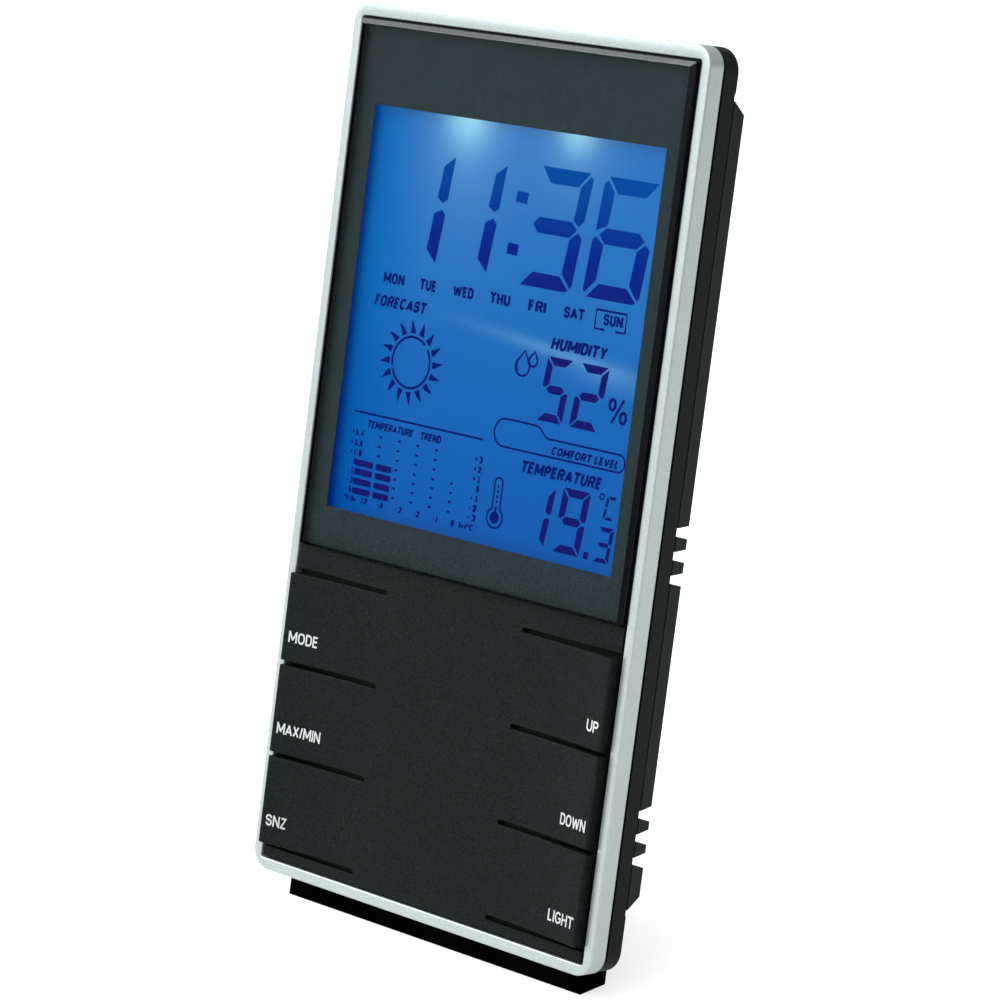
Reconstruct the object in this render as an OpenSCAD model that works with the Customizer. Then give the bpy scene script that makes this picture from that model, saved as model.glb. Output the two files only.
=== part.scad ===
// Home weather station: a leaning desk instrument with a lit display and six long keys.
// Every piece is drawn upright in its own frame and then leaned back onto its foot and leg.
// In the upright frame X is width, Y is depth from the face to the back, and Z is height.

/* [Body] */
// Width of the body
body_w = 78; // [76:1:84]
// Height of the body
body_h = 150; // [148:1:154]
// Radius of the front frame's outer corners
corner_r = 3.5; // [2:0.5:5]
// Angle that the body leans back by, in degrees
lean = 10.7; // [8:0.1:13]

/* [Front] */
// Width of the frame's face at the sides
frame_side = 1.9; // [1.5:0.1:2.5]
// Width of the frame's face at the top
frame_top = 2.3; // [1.8:0.1:3]
// Width of the frame's face at the bottom
frame_bottom = 2; // [1.5:0.1:3]
// Depth of the front frame
frame_depth = 3.5; // [3.4:0.1:3.8]
// How far the lens stands in front of the frame
lens_proud = 1.1; // [0.8:0.1:1.6]
// Half the width of the display window
window_half_w = 32; // [28:0.5:33]
// Lower edge of the display window
window_bottom = 64.6; // [62:0.2:70]
// Upper edge of the display window
window_top = 133.2; // [120:0.2:134]

/* [Keys] */
// Distance from one key to the next
key_pitch = 16.05; // [14:0.05:16.5]
// Width of the slits between the keys
slit = 0.86; // [0.6:0.02:1.2]
// Distance from the middle to the slits' inner ends
slit_inner_x = 15.3; // [12:0.1:20]
// Radius of the curve that lifts each key towards its outer end
key_curve_r = 108; // [95:1:140]

/* [Back] */
// Depth from the face to the back of the rim
rim_back = 7.2; // [7:0.1:8]
// Depth from the face to the raised back
raised_back = 10; // [9.6:0.1:11]
// Depth from the face to the back of the battery hump
hump_back = 20.2; // [20:0.1:22]
// Half the width of the battery hump
hump_half_w = 28; // [27.6:0.1:30]

/* [Stand] */
// How far the foot reaches below the body, at the foot's plane
foot_drop = 5.07; // [4:0.01:6]
// Half the width of the foot
foot_half_w = 33.7; // [25:0.1:36]
// Angle between the open leg and the back
leg_open = 26.5; // [22:0.5:32]
// Half the width of the leg at its pin
leg_half_w = 13; // [9:0.5:15]

/* [Hidden] */
$fn = 48;
cut = 1; // how far a cutting shape runs past the face that it cuts
half_w = body_w / 2;

// Depths of the layers, from the face backwards
lens_back = 0.5;
mask_back = 0.6;
keypad_front = 0.2;
keypad_back = 1.5;
chassis_back = 2.7;
flange_front = 2.4;
flange_back = 3.4;
shell_front = 3.9;
polariser_front = 1.15;
glass_front = 1.3;
glass_middle = 2.4;
glass_back = 3.5;
polariser_back = 3.65;
diffuser_front = 3.75;
guide_front = 3.95;
guide_back = 6.05;
tray_front = 3.7;
tray_wall = 6.25;
tray_back = 6.9;
pcb_front = 4.8;
pcb_back = 6;

// Front outlines
opening_half_w = half_w - frame_side;
opening_low = frame_bottom;
opening_high = body_h - frame_top;
lens_gap = 0.45;
lens_half_w = opening_half_w - lens_gap;
lens_low = 57.55;
lens_high = opening_high - lens_gap;
bevel_w = 0.83;
bevel_depth = 0.55;
lcd_half_w = 34.8;
lcd_high = 138.5;
zebra_low = 58.2;
zebra_high = 60.4;

// Keypad
keypad_low = opening_low + 0.35;
keypad_high = 57.2;
first_slit_z = 52.65;
keypad_half_w = opening_half_w - 0.5;
hinge_gap = 0.1;
curve_x = slit_inner_x + hinge_gap;
key_skin = 1.3;
key_rear_inner = 1.35;
key_rear_outer = 0.55;
stem_x = 30.3;
stem_r = 1.6;
stem_tip = 2.2;
stem_hole_r = 3.5;
plunger_r = 1.15;
plunger_front = 2.25;
plunger_back = 4.1;
switch_w = 4.8;
switch_front = 3;

// Screws
upper_screw_x = 30;
upper_screw_z = 144.5;
lower_screw_x = 22;
lower_screw_z = 6.8;
screw_r = 0.8;
pilot_r = 0.85;
pcb_screw_x = 12;
pcb_screw_z = [17, 52];

// Back
raised_low = 13;
raised_high = 139.8;
ramp_low = 10.85;
ramp_high = 141.9;
leg_step_back = 15.5;
hump_top_z = 102.5;
vent_floor_x = 33.2;
vent_pitch = 3.85;

// Battery bay
bay_half_w = 25.2;
bay_low = 75.9;
bay_high = 98.4;
bay_floor = 7.9;
cell_y = 13.35;
cell_r = 5.15;
cell_z = [81.7, 92.6];
door_half_w = 25.9;
door_low = 74;
door_high = 101.5;
door_front = 18.7;
door_pivot_y = 19.35;
door_pivot_z = 74.85;
door_pivot_r = 0.75;

// Stand
leg_pivot_y = 13.2;
leg_pivot_z = 46;
leg_pin_r = 1;
leg_thick = 2.5;
foot_front = 4.72;
foot_rear = 10.77;
leg_tilt = leg_open - lean;
leg_pivot_height = leg_pivot_z * cos(lean) - leg_pivot_y * sin(lean) + foot_drop;
leg_reach = (leg_pivot_height - leg_thick / 2) / cos(leg_tilt);

// Middle of the front-to-back size, from the lowest key's front corner to the hump's upper edge
key_tip_y = keypad_front - key_curve_r + sqrt(pow(key_curve_r, 2) - pow(keypad_half_w - curve_x, 2));
key_tip_z = slit_z(3) + slit / 2;
front_y = key_tip_y * cos(lean) + key_tip_z * sin(lean);
rear_y = hump_back * cos(lean) + hump_top_z * sin(lean);
centre_y = (front_y + rear_y) / 2;

// Leans the upright drawing back and sets its foot on the ground
module leaned() {
    translate([0, -centre_y, foot_drop]) rotate([-lean, 0, 0]) children();
}

// A box from its limits in each direction
module slab(x0, x1, y0, y1, z0, z1) {
    translate([x0, y0, z0]) cube([x1 - x0, y1 - y0, z1 - z0]);
}

// A box centred on the middle of the body
module plate(w, y0, y1, z0, z1) {
    slab(-w, w, y0, y1, z0, z1);
}

// Extrudes an outline drawn in X and Z from one depth to another
module from_depth(y0, y1) {
    translate([0, y1, 0]) rotate([90, 0, 0]) linear_extrude(y1 - y0) children();
}

// Extrudes an outline drawn in depth and Z across the width
module across(w) {
    rotate([0, 0, 90]) rotate([90, 0, 0]) linear_extrude(2 * w, center = true) children();
}

// A rectangle with round corners
module rounded_outline(w, z0, z1, r) {
    translate([-w + r, z0]) square([2 * (w - r), z1 - z0]);
    translate([-w, z0 + r]) square([2 * w, z1 - z0 - 2 * r]);
    for (x = [-w + r, w - r], z = [z0 + r, z1 - r]) translate([x, z]) circle(r);
}

// A flat plate with round corners
module rounded_plate(w, y0, y1, z0, z1, r) {
    from_depth(y0, y1) rounded_outline(w, z0, z1, r);
}

// A round bar that points to the back
module rod(x, z, y0, y1, r) {
    translate([x, y0, z]) rotate([-90, 0, 0]) cylinder(h = y1 - y0, r = r);
}

// A round bar that lies across the width
module cross_rod(x0, x1, y, z, r) {
    translate([x0, y, z]) rotate([0, 90, 0]) cylinder(h = x1 - x0, r = r);
}

// Places its children at each of the four case screws
module at_case_screws() {
    for (side = [-1, 1]) {
        translate([side * upper_screw_x, 0, upper_screw_z]) children();
        translate([side * lower_screw_x, 0, lower_screw_z]) children();
    }
}

// Places its children at each of the four board screws
module at_pcb_screws() {
    for (x = [-pcb_screw_x, pcb_screw_x], z = pcb_screw_z) translate([x, 0, z]) children();
}

// Height of the slit above a row of keys, where row 3 is the slit under the last key
function slit_z(row) = first_slit_z - row * key_pitch;
// Height of the middle of a row of keys
function key_z(row) = (slit_z(row) + slit_z(row + 1)) / 2;

// Satin ring round the face, open in front and stepped behind for the chassis
module front_frame() {
    color("silver") leaned() difference() {
        rounded_plate(half_w, 0, frame_depth, 0, body_h, corner_r);
        plate(opening_half_w, -cut, frame_depth + cut, opening_low, opening_high);
        rounded_plate(half_w - 1.05, flange_front, frame_depth + cut, 1.05, body_h - 1.05, 2.4);
    }
}

// Inner frame that carries the lens, the display and the keypad
module front_chassis() {
    color([0.05, 0.05, 0.05]) leaned() difference() {
        union() {
            plate(opening_half_w - 0.1, mask_back, chassis_back, opening_low + 0.1, opening_high - 0.1);
            difference() {
                rounded_plate(half_w - 1.15, flange_front, flange_back, 1.15, body_h - 1.15, 2.3);
                plate(31, chassis_back, flange_back + cut, 10, 57.35 + cut);
            }
            at_case_screws() rod(0, 0, chassis_back - 0.3, 4.85, 2.2);
            at_pcb_screws() rod(0, 0, chassis_back - 0.3, pcb_front, 2);
        }
        plate(half_w, mask_back - cut, keypad_back, 0, keypad_high + 0.15);
        plate(33.2, 0, flange_back + cut, 63.4, 134.4);
        plate(lcd_half_w + 0.15, 1.1, flange_back + cut, 57.35, lcd_high + 0.15);
        for (x = [-stem_x, stem_x], row = [0:2]) rod(x, key_z(row), 0, 5, stem_hole_r);
        at_case_screws() rod(0, 0, 1.6, 6, pilot_r);
        at_pcb_screws() rod(0, 0, 1.9, 6, pilot_r);
    }
}

// Clear plate over the display, bevelled at its top and sides
module lens() {
    bevel_back = bevel_depth - lens_proud;
    color([0.75, 0.85, 0.9, 0.4]) leaned() intersection() {
        translate([0, 0, lens_low]) linear_extrude(lens_high - lens_low) polygon([
            [-lens_half_w, lens_back], [-lens_half_w, bevel_back],
            [-lens_half_w + bevel_w, -lens_proud], [lens_half_w - bevel_w, -lens_proud],
            [lens_half_w, bevel_back], [lens_half_w, lens_back]]);
        across(lens_half_w + cut) polygon([
            [lens_back, lens_low], [-lens_proud, lens_low], [-lens_proud, lens_high - bevel_w],
            [bevel_back, lens_high], [lens_back, lens_high]]);
    }
}

// Black print behind the lens
module display_mask() {
    color([0.1, 0.11, 0.11]) leaned() difference() {
        plate(lens_half_w - 0.15, lens_back, mask_back, lens_low + 0.15, lens_high - 0.15);
        plate(window_half_w, lens_back - cut, mask_back + cut, window_bottom, window_top);
    }
}

module front_polariser() {
    color([0.3, 0.35, 0.4]) leaned() plate(33, polariser_front, glass_front, 63.6, 134.2);
}

module lcd_front_glass() {
    color([0.5, 0.65, 0.9]) leaned() plate(lcd_half_w, glass_front, glass_middle, 57.5, lcd_high);
}

module lcd_rear_glass() {
    color([0.4, 0.55, 0.85]) leaned() plate(lcd_half_w, glass_middle, glass_back, 61.5, lcd_high);
}

module rear_polariser() {
    color([0.3, 0.35, 0.4]) leaned() plate(34, glass_back, polariser_back, 62, 137.5);
}

module diffuser_sheet() {
    color([0.9, 0.92, 0.95]) leaned() plate(34, diffuser_front, guide_front, 62, 138);
}

// Clear slab that spreads the lamps' light, notched at the top for each lamp
module light_guide() {
    color([0.2, 0.4, 0.95]) leaned() difference() {
        plate(34, guide_front, guide_back, 62, 136);
        for (x = [-11.75, 11.75]) slab(x - 1.9, x + 1.9, 3, 7, 135, 137);
    }
}

module reflector_sheet() {
    color([0.95, 0.95, 0.97]) leaned() plate(34, guide_back, 6.2, 62, 136);
}

// White tray that holds the light guide and its lamps
module backlight_tray() {
    color([0.9, 0.9, 0.88]) leaned() difference() {
        plate(36, tray_front, tray_back, 61, 140.5);
        plate(34.15, tray_front - cut, tray_wall, 61.9, 139.6);
    }
}

module backlight_leds() {
    color([0.95, 0.95, 1]) leaned() for (x = [-11.75, 11.75])
        slab(x - 1.75, x + 1.75, 4.2, 5.8, 135.2, 137.4);
}

module led_board() {
    color([0.1, 0.4, 0.2]) leaned() plate(18, 4, 6, 137.4, 138.4);
}

module zebra_strip() {
    color([0.85, 0.6, 0.65]) leaned() plate(30, glass_middle, pcb_front, zebra_low, zebra_high);
}

// Circuit board behind the keypad
module main_pcb() {
    color([0.1, 0.4, 0.2]) leaned() difference() {
        plate(35, pcb_front, pcb_back, 9.8, 60.6);
        at_pcb_screws() rod(0, 0, pcb_front - cut, pcb_back + cut, 1);
    }
}

// Resin dome over the controller chip
module controller_cover() {
    dome_r = 12;
    dome_h = 1.4;
    color([0.05, 0.05, 0.05]) leaned() intersection() {
        translate([2, pcb_back + dome_h - dome_r, 34]) sphere(dome_r);
        plate(20, pcb_back, pcb_back + dome_h, 20, 50);
    }
}

module quartz_crystal() {
    color("silver") leaned() translate([15, pcb_back + 1.05, 37]) cylinder(h = 6, r = 1.05);
}

// Temperature and humidity sensor, next to the lower vents
module climate_sensor() {
    color([0.9, 0.9, 0.9]) leaned() difference() {
        slab(28.5, 33, pcb_back, 7.6, 20.5, 26);
        for (z = [21.7:1.55:25]) slab(29.5, 32, 7.2, 8, z - 0.4, z + 0.4);
    }
}

module buzzer() {
    color([0.12, 0.12, 0.12]) leaned() difference() {
        rod(-17, 36, pcb_back, 9.3, 6);
        rod(-17, 36, 8.6, 10, 1);
    }
}

// A small countersunk screw that points to the face, with a cross cut in its head
module screw(head_y, head_r, head_h, length) {
    difference() {
        union() {
            rod(0, 0, head_y - head_h, head_y, head_r);
            rod(0, 0, head_y - head_h - length, head_y - head_h, screw_r);
        }
        for (a = [0, 90]) translate([0, head_y, 0]) rotate([0, a, 0])
            slab(-0.8 * head_r, 0.8 * head_r, -0.6 * head_h, cut, -0.18, 0.18);
    }
}

module pcb_screws() {
    color("silver") leaned() at_pcb_screws() screw(6.8, 1.7, 0.8, 3.6);
}

module case_screws() {
    color("dimgray") leaned() at_case_screws() screw(6.7, 1.9, 1, 3.6);
}

// Six square switch bodies on the board
module switch_housings() {
    color([0.15, 0.15, 0.15]) leaned() for (x = [-stem_x, stem_x], row = [0:2])
        difference() {
            slab(x - switch_w / 2, x + switch_w / 2, switch_front, pcb_front,
                key_z(row) - switch_w / 2, key_z(row) + switch_w / 2);
            rod(x, key_z(row), switch_front - cut, pcb_front - 0.1, plunger_r + 0.05);
        }
}

// Round button of one switch
module plunger(side, row) {
    color([0.75, 0.72, 0.6]) leaned()
        rod(side * stem_x, key_z(row), plunger_front, plunger_back, plunger_r);
}

module plunger_mode() { plunger(-1, 0); }
module plunger_maxmin() { plunger(-1, 1); }
module plunger_snooze() { plunger(-1, 2); }
module plunger_up() { plunger(1, 0); }
module plunger_down() { plunger(1, 1); }
module plunger_light() { plunger(1, 2); }

// The still middle of the keypad, with a full-width strip above and below the keys
module keypad_panel() {
    color([0.12, 0.13, 0.13]) leaned() {
        plate(slit_inner_x - hinge_gap, keypad_front, keypad_back, keypad_low, keypad_high);
        plate(keypad_half_w, keypad_front, keypad_back, slit_z(0) + slit / 2, keypad_high);
        plate(keypad_half_w, keypad_front, keypad_back, keypad_low, slit_z(3) - slit / 2);
    }
}

// One key: a shell that curves forward to its outer end, with a stem over its switch
module key(side, row) {
    low = slit_z(row + 1) + slit / 2;
    high = slit_z(row) - slit / 2;
    inner = slit_inner_x + hinge_gap;
    wall = 1.2;
    curve_y = keypad_front - key_curve_r;
    color([0.12, 0.13, 0.13]) leaned() mirror([side < 0 ? 1 : 0, 0, 0]) {
        difference() {
            translate([0, 0, low]) linear_extrude(high - low) polygon([
                [inner, -3], [keypad_half_w, -3], [keypad_half_w, key_rear_outer],
                [20, 0.9], [17.5, key_rear_inner], [inner, key_rear_inner]]);
            translate([curve_x, curve_y, low - cut])
                cylinder(h = high - low + 2 * cut, r = key_curve_r, $fn = 360);
            difference() {
                slab(22, keypad_half_w - wall, -3, 2, low + wall, high - wall);
                translate([curve_x, curve_y, low])
                    cylinder(h = high - low, r = key_curve_r + key_skin, $fn = 360);
            }
        }
        rod(stem_x, key_z(row), -0.2, stem_tip, stem_r);
    }
}

module key_mode() { key(-1, 0); }
module key_maxmin() { key(-1, 1); }
module key_snooze() { key(-1, 2); }
module key_up() { key(1, 0); }
module key_down() { key(1, 1); }
module key_light() { key(1, 2); }

// Outside of the rear shell, without its openings
module shell_outside() {
    rounded_plate(half_w, shell_front, rim_back, 0, body_h, corner_r + 0.5);
    across(half_w) polygon([[rim_back - 0.5, ramp_low], [rim_back, ramp_low],
        [raised_back, raised_low], [raised_back, raised_high], [rim_back, ramp_high],
        [rim_back - 0.5, ramp_high]]);
    intersection() {
        across(hump_half_w + cut) polygon([[8, 14], [raised_back, 15.5], [leg_step_back, 19.5],
            [leg_step_back, 66], [hump_back, 71], [hump_back, hump_top_z], [raised_back, 109],
            [8, 109]]);
        linear_extrude(body_h) polygon([[-hump_half_w - 1, 8], [hump_half_w + 1, 8],
            [hump_half_w, hump_back], [-hump_half_w, hump_back]]);
    }
}

// Hollow of the rear shell
module shell_inside() {
    wall = 1.8;
    rounded_plate(half_w - wall, shell_front - cut, 6.1, wall, body_h - wall, 2.4);
    across(half_w - wall) polygon([[5.9, 12.8], [8.2, 14.8], [8.2, 138.5], [7.05, 140.8],
        [5.9, 140.8]]);
    plate(26, 8, 9.8, 18, 70);
    for (side = [-1, 1]) mirror([side < 0 ? 1 : 0, 0, 0]) slab(17, 26, 9, 13.7, 21, 64);
}

// One group of vent slots in both edges of the raised back: wider at the mouth than at the floor
module vents(middle_z, floor_w, mouth_w) {
    for (i = [-1:1], side = [-1, 1])
        translate([side * (vent_floor_x + half_w + cut) / 2, 0, middle_z + i * vent_pitch])
            across((half_w + cut - vent_floor_x) / 2) polygon([[rim_back, -floor_w],
                [raised_back + 0.01, -mouth_w], [raised_back + cut, -mouth_w],
                [raised_back + cut, mouth_w], [raised_back + 0.01, mouth_w], [rim_back, floor_w]]);
}

// Back case, with the battery bay, the leg's recess and the vents
module rear_shell() {
    color([0.08, 0.08, 0.08]) leaned() difference() {
        union() {
            difference() {
                shell_outside();
                shell_inside();
            }
            plate(26.8, 7.1, 12, 74.3, 100);
            at_case_screws() rod(0, 0, 4.9, 6.5, 2.7);
        }
        plate(bay_half_w, bay_floor, door_front + cut, bay_low, bay_high);
        plate(door_half_w + 0.2, door_front - 0.1, hump_back + cut, door_low - 0.4, door_high + 0.2);
        translate([0, hump_back + 3, door_high]) rotate([90, 0, 0]) cylinder(h = 4, r = 5);
        cross_rod(-27.3, 27.3, door_pivot_y, door_pivot_z, door_pivot_r + 0.05);
        cross_rod(-door_half_w - 0.2, door_half_w + 0.2, door_pivot_y, door_pivot_z, 1.05);
        plate(leg_half_w + 0.4, 12.1, leg_step_back + cut, 10, 50.5);
        plate(leg_half_w + 0.4, 11, leg_step_back + cut, 43.6, 50.5);
        cross_rod(-17, 17, leg_pivot_y, leg_pivot_z, leg_pin_r + 0.02);
        at_case_screws() rod(0, 0, 4, 8, 1.1);
        at_case_screws() rod(0, 0, 5.65, 8, 2.1);
        vents(22.9, 0.6, 1.25);
        vents(69.05, 0.72, 1.05);
        for (x = [-24, 24]) translate([x, 5.9, -cut]) cylinder(h = 4, r = 1.55);
    }
}

// Bar under the body, cut level with the ground and pegged into the shell
module front_foot() {
    low_front = (foot_front * sin(lean) - foot_drop) / cos(lean);
    low_rear = (foot_rear * sin(lean) - foot_drop) / cos(lean);
    color([0.04, 0.04, 0.04]) leaned() {
        across(foot_half_w) polygon([[foot_front, 0], [foot_front, low_front], [foot_rear, low_rear],
            [foot_rear, 3], [rim_back + 0.05, 3], [rim_back + 0.05, 0]]);
        for (x = [-24, 24]) translate([x, 5.9, -0.5]) cylinder(h = 2, r = 1.5);
    }
}

// Door over the cells, with a pivot at each lower corner and grip lines at the top
module battery_door() {
    color([0.08, 0.08, 0.08]) leaned() difference() {
        union() {
            plate(door_half_w, door_front, hump_back, door_pivot_z, door_high);
            cross_rod(-door_half_w, door_half_w, door_pivot_y, door_pivot_z, 0.85);
            plate(door_half_w, door_front, door_pivot_y, door_pivot_z - 0.5, door_pivot_z + 1);
            cross_rod(-27.1, 27.1, door_pivot_y, door_pivot_z, door_pivot_r);
        }
        for (i = [0:4]) plate(7, hump_back - 0.35, hump_back + cut, 93 + i * 1.3, 93.6 + i * 1.3);
    }
}

// One AAA cell, whose raised end is at +X when side is 1
module cell(side, z) {
    length = 43.3;
    leaned() {
        translate([0, cell_y, z]) rotate([0, 90, 0])
            cylinder(h = length, r = cell_r, center = true);
        translate([side * (length / 2 + 0.6), cell_y, z]) rotate([0, 90, 0])
            cylinder(h = 1.2, r = 1.9, center = true);
    }
}

module battery_cell_upper() { color([0.75, 0.6, 0.2]) cell(1, cell_z[1]); }
module battery_cell_lower() { color([0.75, 0.6, 0.2]) cell(-1, cell_z[0]); }

// A pressed contact plate against one end wall of the bay, with a dome that meets a cell's nub
module contact_plate(side, z0, z1, dome_z) {
    slab(side > 0 ? 24.7 : -25.15, side > 0 ? 25.15 : -24.7, 8.5, 17.6, z0, z1);
    translate([side * 23.9, cell_y, dome_z]) rotate([0, 90, 0])
        cylinder(h = 1.8, r = 1.6, center = true);
}

// Points of a ring of wire at one step along a cone-shaped coil whose axis is X
function coil_ring(t, turns, r0, r1, length, wire, sides) =
    let (a = 360 * turns * t, r = r0 + (r1 - r0) * t)
    [for (i = [0:sides - 1]) let (b = 360 * i / sides)
        [t * length + wire * sin(b), (r + wire * cos(b)) * cos(a), (r + wire * cos(b)) * sin(a)]];

// Coil spring along X, as one closed tube
module coil(turns, r0, r1, length, wire) {
    sides = 8;
    rings = turns * 16;
    points = [for (k = [0:rings]) each coil_ring(k / rings, turns, r0, r1, length, wire, sides)];
    tube = [for (k = [0:rings - 1], i = [0:sides - 1])
        let (j = (i + 1) % sides) [k * sides + i, k * sides + j, (k + 1) * sides + j, (k + 1) * sides + i]];
    start = [for (i = [sides - 1:-1:0]) i];
    end = [for (i = [0:sides - 1]) rings * sides + i];
    polyhedron(points, concat([start], tube, [end]));
}

// A contact plate whose coil presses on a cell's flat end
module spring_contact(side, z0, z1, coil_z) {
    slab(side > 0 ? 24.7 : -25.15, side > 0 ? 25.15 : -24.7, 8.5, 17.6, z0, z1);
    translate([side * 24.6, cell_y, coil_z]) mirror([side > 0 ? 1 : 0, 0, 0])
        coil(3, 3.6, 2.4, 2.5, 0.3);
}

module contact_positive() {
    color("silver") leaned() contact_plate(1, 88.2, 97.4, cell_z[1]);
}

module contact_negative() {
    color("silver") leaned() spring_contact(1, 77, 86.2, cell_z[0]);
}

// The plate that joins the two cells at the other end
module contact_link() {
    color("silver") leaned() {
        contact_plate(-1, 77, 86.2, cell_z[0]);
        spring_contact(-1, 86, 97.4, cell_z[1]);
    }
}

// A wire through a list of points, as round stretches joined by balls
module wire(points, r) {
    for (i = [0:len(points) - 2]) {
        step = points[i + 1] - points[i];
        length = norm(step);
        translate(points[i]) rotate([0, acos(step[2] / length), atan2(step[1], step[0])])
            cylinder(h = length, r = r, $fn = 16);
    }
    for (i = [1:len(points) - 2]) translate(points[i]) sphere(r + 0.03, $fn = 16);
}

module lead_red() {
    color("red") leaned()
        wire([[27.5, 7.55, 90], [31.2, 7.55, 84], [31, 7.55, 60], [29.5, 6.55, 55]], 0.5);
}

module lead_black() {
    color([0.1, 0.1, 0.1]) leaned()
        wire([[27.5, 7.55, 82], [29.1, 7.55, 78], [29, 7.55, 60], [27, 6.55, 52]], 0.5);
}

// Fold-out leg, drawn folded and then opened about its pin
module stand_leg() {
    tip_half_w = 11;
    color([0.07, 0.07, 0.07]) leaned()
        translate([0, leg_pivot_y, leg_pivot_z]) rotate([leg_open, 0, 0]) difference() {
            union() {
                from_depth(-0.8, leg_thick - 0.8) polygon([[-leg_half_w, 0], [leg_half_w, 0],
                    [tip_half_w, -leg_reach], [-tip_half_w, -leg_reach]]);
                cross_rod(-leg_half_w, leg_half_w, 0, 0, 2);
                cross_rod(-tip_half_w, tip_half_w, leg_thick / 2 - 0.8, -leg_reach, leg_thick / 2);
            }
            cross_rod(-leg_half_w - cut, leg_half_w + cut, 0, 0, leg_pin_r + 0.05);
            plate(6, leg_thick - 0.8 - 0.6, leg_thick, -leg_reach + 5, -leg_reach + 11);
        }
}

module leg_pin() {
    color("silver") leaned() cross_rod(-16.9, 16.9, leg_pivot_y, leg_pivot_z, leg_pin_r);
}

front_frame();
front_chassis();
lens();
display_mask();
front_polariser();
lcd_front_glass();
lcd_rear_glass();
rear_polariser();
diffuser_sheet();
light_guide();
reflector_sheet();
backlight_tray();
backlight_leds();
led_board();
zebra_strip();
main_pcb();
controller_cover();
quartz_crystal();
climate_sensor();
buzzer();
pcb_screws();
switch_housings();
plunger_mode();
plunger_maxmin();
plunger_snooze();
plunger_up();
plunger_down();
plunger_light();
keypad_panel();
key_mode();
key_maxmin();
key_snooze();
key_up();
key_down();
key_light();
rear_shell();
front_foot();
battery_door();
battery_cell_upper();
battery_cell_lower();
contact_link();
contact_positive();
contact_negative();
lead_red();
lead_black();
case_screws();
stand_leg();
leg_pin();
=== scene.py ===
import bpy
import math
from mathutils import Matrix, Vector


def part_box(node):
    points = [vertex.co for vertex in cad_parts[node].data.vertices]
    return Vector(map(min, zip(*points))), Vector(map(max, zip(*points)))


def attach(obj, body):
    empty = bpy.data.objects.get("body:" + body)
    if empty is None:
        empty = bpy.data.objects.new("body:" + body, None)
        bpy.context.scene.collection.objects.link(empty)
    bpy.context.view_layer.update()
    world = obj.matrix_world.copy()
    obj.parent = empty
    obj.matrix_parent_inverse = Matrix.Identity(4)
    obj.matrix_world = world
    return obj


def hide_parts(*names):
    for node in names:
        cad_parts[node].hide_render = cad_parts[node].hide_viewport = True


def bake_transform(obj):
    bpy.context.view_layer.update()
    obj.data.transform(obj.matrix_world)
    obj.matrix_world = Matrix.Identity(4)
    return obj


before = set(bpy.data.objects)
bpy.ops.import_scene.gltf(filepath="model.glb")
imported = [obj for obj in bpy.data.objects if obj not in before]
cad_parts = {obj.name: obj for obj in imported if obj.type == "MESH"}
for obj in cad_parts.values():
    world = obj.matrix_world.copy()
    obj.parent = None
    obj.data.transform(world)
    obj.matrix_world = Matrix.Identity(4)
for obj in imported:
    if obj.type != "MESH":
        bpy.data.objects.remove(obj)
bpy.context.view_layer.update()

# -------------------- the upright drawing, in millimetres
# The station is drawn upright, x to the right, y to the back and z up, and then leans back.
LEAN = math.radians(10.7)
LEAN_COS, LEAN_SIN = math.cos(LEAN), math.sin(LEAN)
# The leg's pin ties the drawing to the row frame: its place in the drawing, then in the row.
PIN_Y, PIN_Z = 13.2, 46.0
PIN = [(low + high) / 2 * 1000.0 for low, high in zip(*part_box("leg_pin"))]
OFF_Y = PIN[1] - (PIN_Y * LEAN_COS + PIN_Z * LEAN_SIN)
OFF_Z = PIN[2] - (-PIN_Y * LEAN_SIN + PIN_Z * LEAN_COS)


def leaned(x, y, z):
    """A point of the upright drawing (mm) in the row frame (m)."""
    back = y * LEAN_COS + z * LEAN_SIN + OFF_Y
    up = -y * LEAN_SIN + z * LEAN_COS + OFF_Z
    return (x / 1000.0, back / 1000.0, up / 1000.0)


# -------------------- materials
def new_material(name):
    """A material with one shader, its node tree and the shader."""
    material = bpy.data.materials.new(name)
    material.use_nodes = True
    material.node_tree.nodes.clear()
    output = material.node_tree.nodes.new("ShaderNodeOutputMaterial")
    shader = material.node_tree.nodes.new("ShaderNodeBsdfPrincipled")
    material.node_tree.links.new(shader.outputs[0], output.inputs[0])
    return material, material.node_tree, shader


def noise(tree, scale, detail=3.0):
    """Noise in object space; every piece's vertices are in the row frame, in metres."""
    coords = tree.nodes.new("ShaderNodeTexCoord")
    node = tree.nodes.new("ShaderNodeTexNoise")
    node.inputs["Scale"].default_value = scale
    node.inputs["Detail"].default_value = detail
    node.inputs["Roughness"].default_value = 0.5
    tree.links.new(coords.outputs["Object"], node.inputs["Vector"])
    return node.outputs["Fac"]


def ramp(tree, value, stops):
    """Colours along a value; stops are (position, colour)."""
    node = tree.nodes.new("ShaderNodeValToRGB")
    node.color_ramp.elements[0].position = stops[0][0]
    node.color_ramp.elements[0].color = (*stops[0][1], 1)
    node.color_ramp.elements[1].position = stops[-1][0]
    node.color_ramp.elements[1].color = (*stops[-1][1], 1)
    for position, colour in stops[1:-1]:
        stop = node.color_ramp.elements.new(position)
        stop.color = (*colour, 1)
    tree.links.new(value, node.inputs["Fac"])
    return node.outputs["Color"]


def span(tree, value, low, high, low_in=0.3, high_in=0.7):
    """Maps low_in..high_in to low..high. Noise lies mostly between 0.3 and 0.7."""
    node = tree.nodes.new("ShaderNodeMapRange")
    node.inputs["From Min"].default_value = low_in
    node.inputs["From Max"].default_value = high_in
    node.inputs["To Min"].default_value = low
    node.inputs["To Max"].default_value = high
    tree.links.new(value, node.inputs["Value"])
    return node.outputs["Result"]


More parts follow.
